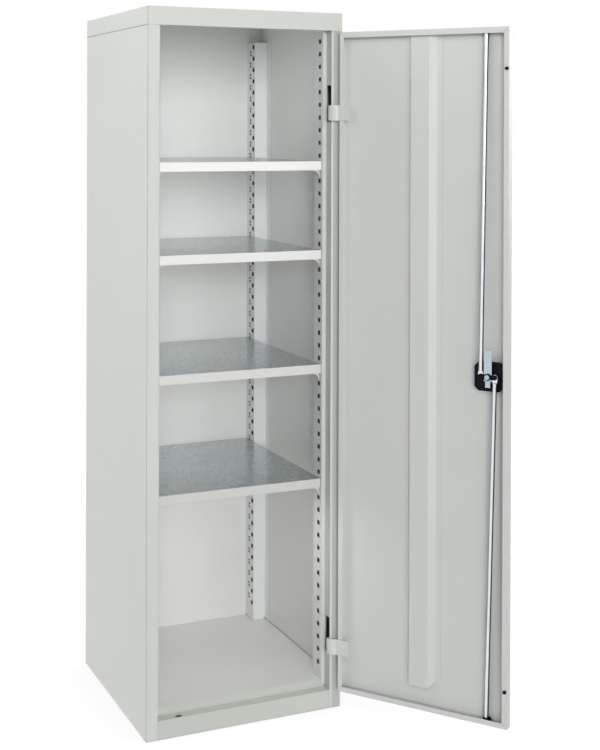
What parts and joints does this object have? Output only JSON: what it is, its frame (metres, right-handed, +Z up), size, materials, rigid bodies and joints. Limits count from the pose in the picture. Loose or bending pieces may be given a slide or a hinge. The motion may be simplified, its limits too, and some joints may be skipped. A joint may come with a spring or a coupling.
{
  "type": "hinged door cabinet",
  "caption": "Tall sheet-steel cabinet with an inset door on goose-neck hinges, a rod lock and adjustable shelves on slotted posts.",
  "frame": {"origin": "on the floor, under the middle of the front face, at the base flange", "axes": "+Z up, +Y from the front face into the cabinet, +X to the right seen from the front, towards the hinges"},
  "size_m": [0.8693, 1.0201, 1.95],
  "materials": {
    "grey_paint": "satin powder coat",
    "zinc_sheet": "galvanised, satin",
    "bright_steel": "bright zinc plated",
    "black_plastic": "fine-grained matte",
    "buffer_rubber": "matte"
  },
  "bodies": {
    "carcass": {"side_panel_right": "grey_paint", "side_panel_left": "grey_paint", "top_cap": "grey_paint", "plinth_front": "grey_paint", "floor_panel": "grey_paint", "back_panel": "grey_paint", "front_post_left": "grey_paint", "rear_post_left": "grey_paint", "front_post_right": "grey_paint", "rear_post_right": "grey_paint", "shelf_top": "zinc_sheet", "shelf_upper": "zinc_sheet", "shelf_middle": "zinc_sheet", "shelf_lower": "zinc_sheet", "clip_top_front_left": "bright_steel", "clip_top_rear_left": "bright_steel", "clip_top_front_right": "bright_steel", "clip_top_rear_right": "bright_steel", "clip_upper_front_left": "bright_steel", "clip_upper_rear_left": "bright_steel", "clip_upper_front_right": "bright_steel", "clip_upper_rear_right": "bright_steel", "clip_middle_front_left": "bright_steel", "clip_middle_rear_left": "bright_steel", "clip_middle_front_right": "bright_steel", "clip_middle_rear_right": "bright_steel", "clip_lower_front_left": "bright_steel", "clip_lower_rear_left": "bright_steel", "clip_lower_front_right": "bright_steel", "clip_lower_rear_right": "bright_steel", "hinge_bracket_upper": "zinc_sheet", "hinge_bracket_lower": "zinc_sheet", "hinge_pin_upper": "bright_steel", "hinge_pin_lower": "bright_steel"},
    "door": {"door_panel": "grey_paint", "door_stiffener": "grey_paint", "hinge_arm_upper": "grey_paint", "hinge_arm_lower": "grey_paint", "lock_housing": "black_plastic", "lock_escutcheon": "black_plastic", "rod_guide_upper": "black_plastic", "rod_guide_lower": "black_plastic", "door_buffer_upper": "buffer_rubber", "door_buffer_lower": "buffer_rubber"},
    "lock": {"lock_knob": "black_plastic", "lock_spindle": "bright_steel", "lock_tongue": "bright_steel", "lock_cam": "black_plastic", "lock_nut": "bright_steel"},
    "rod_upper": {"lock_rod_upper": "bright_steel"},
    "rod_lower": {"lock_rod_lower": "bright_steel"}
  },
  "joints": [
    {"name": "door_hinge", "type": "hinge", "parent": "carcass", "child": "door", "pos_m": [0.2705, 0.0075, 1], "axis": [0, 0, 1], "range_deg": [-126.2, 0]},
    {"name": "lock_turn", "type": "hinge", "parent": "door", "child": "lock", "pos_m": [0.55148, -0.36371, 0.973], "axis": [0.807, 0.5906, 0], "range_deg": [0, 90]},
    {"name": "rod_upper_pivot", "type": "hinge", "parent": "lock", "child": "rod_upper", "pos_m": [0.51881, -0.36284, 0.973], "axis": [0.807, 0.5906, 0], "range_deg": [-92, 1]},
    {"name": "rod_lower_pivot", "type": "hinge", "parent": "lock", "child": "rod_lower", "pos_m": [0.54243, -0.39512, 0.973], "axis": [0.807, 0.5906, 0], "range_deg": [-92, 1]}
  ],
  "couplings": [
    {"joint": "rod_upper_pivot", "follows": "lock_turn", "ratio": -1.0139},
    {"joint": "rod_lower_pivot", "follows": "lock_turn", "ratio": -1.0139}
  ]
}
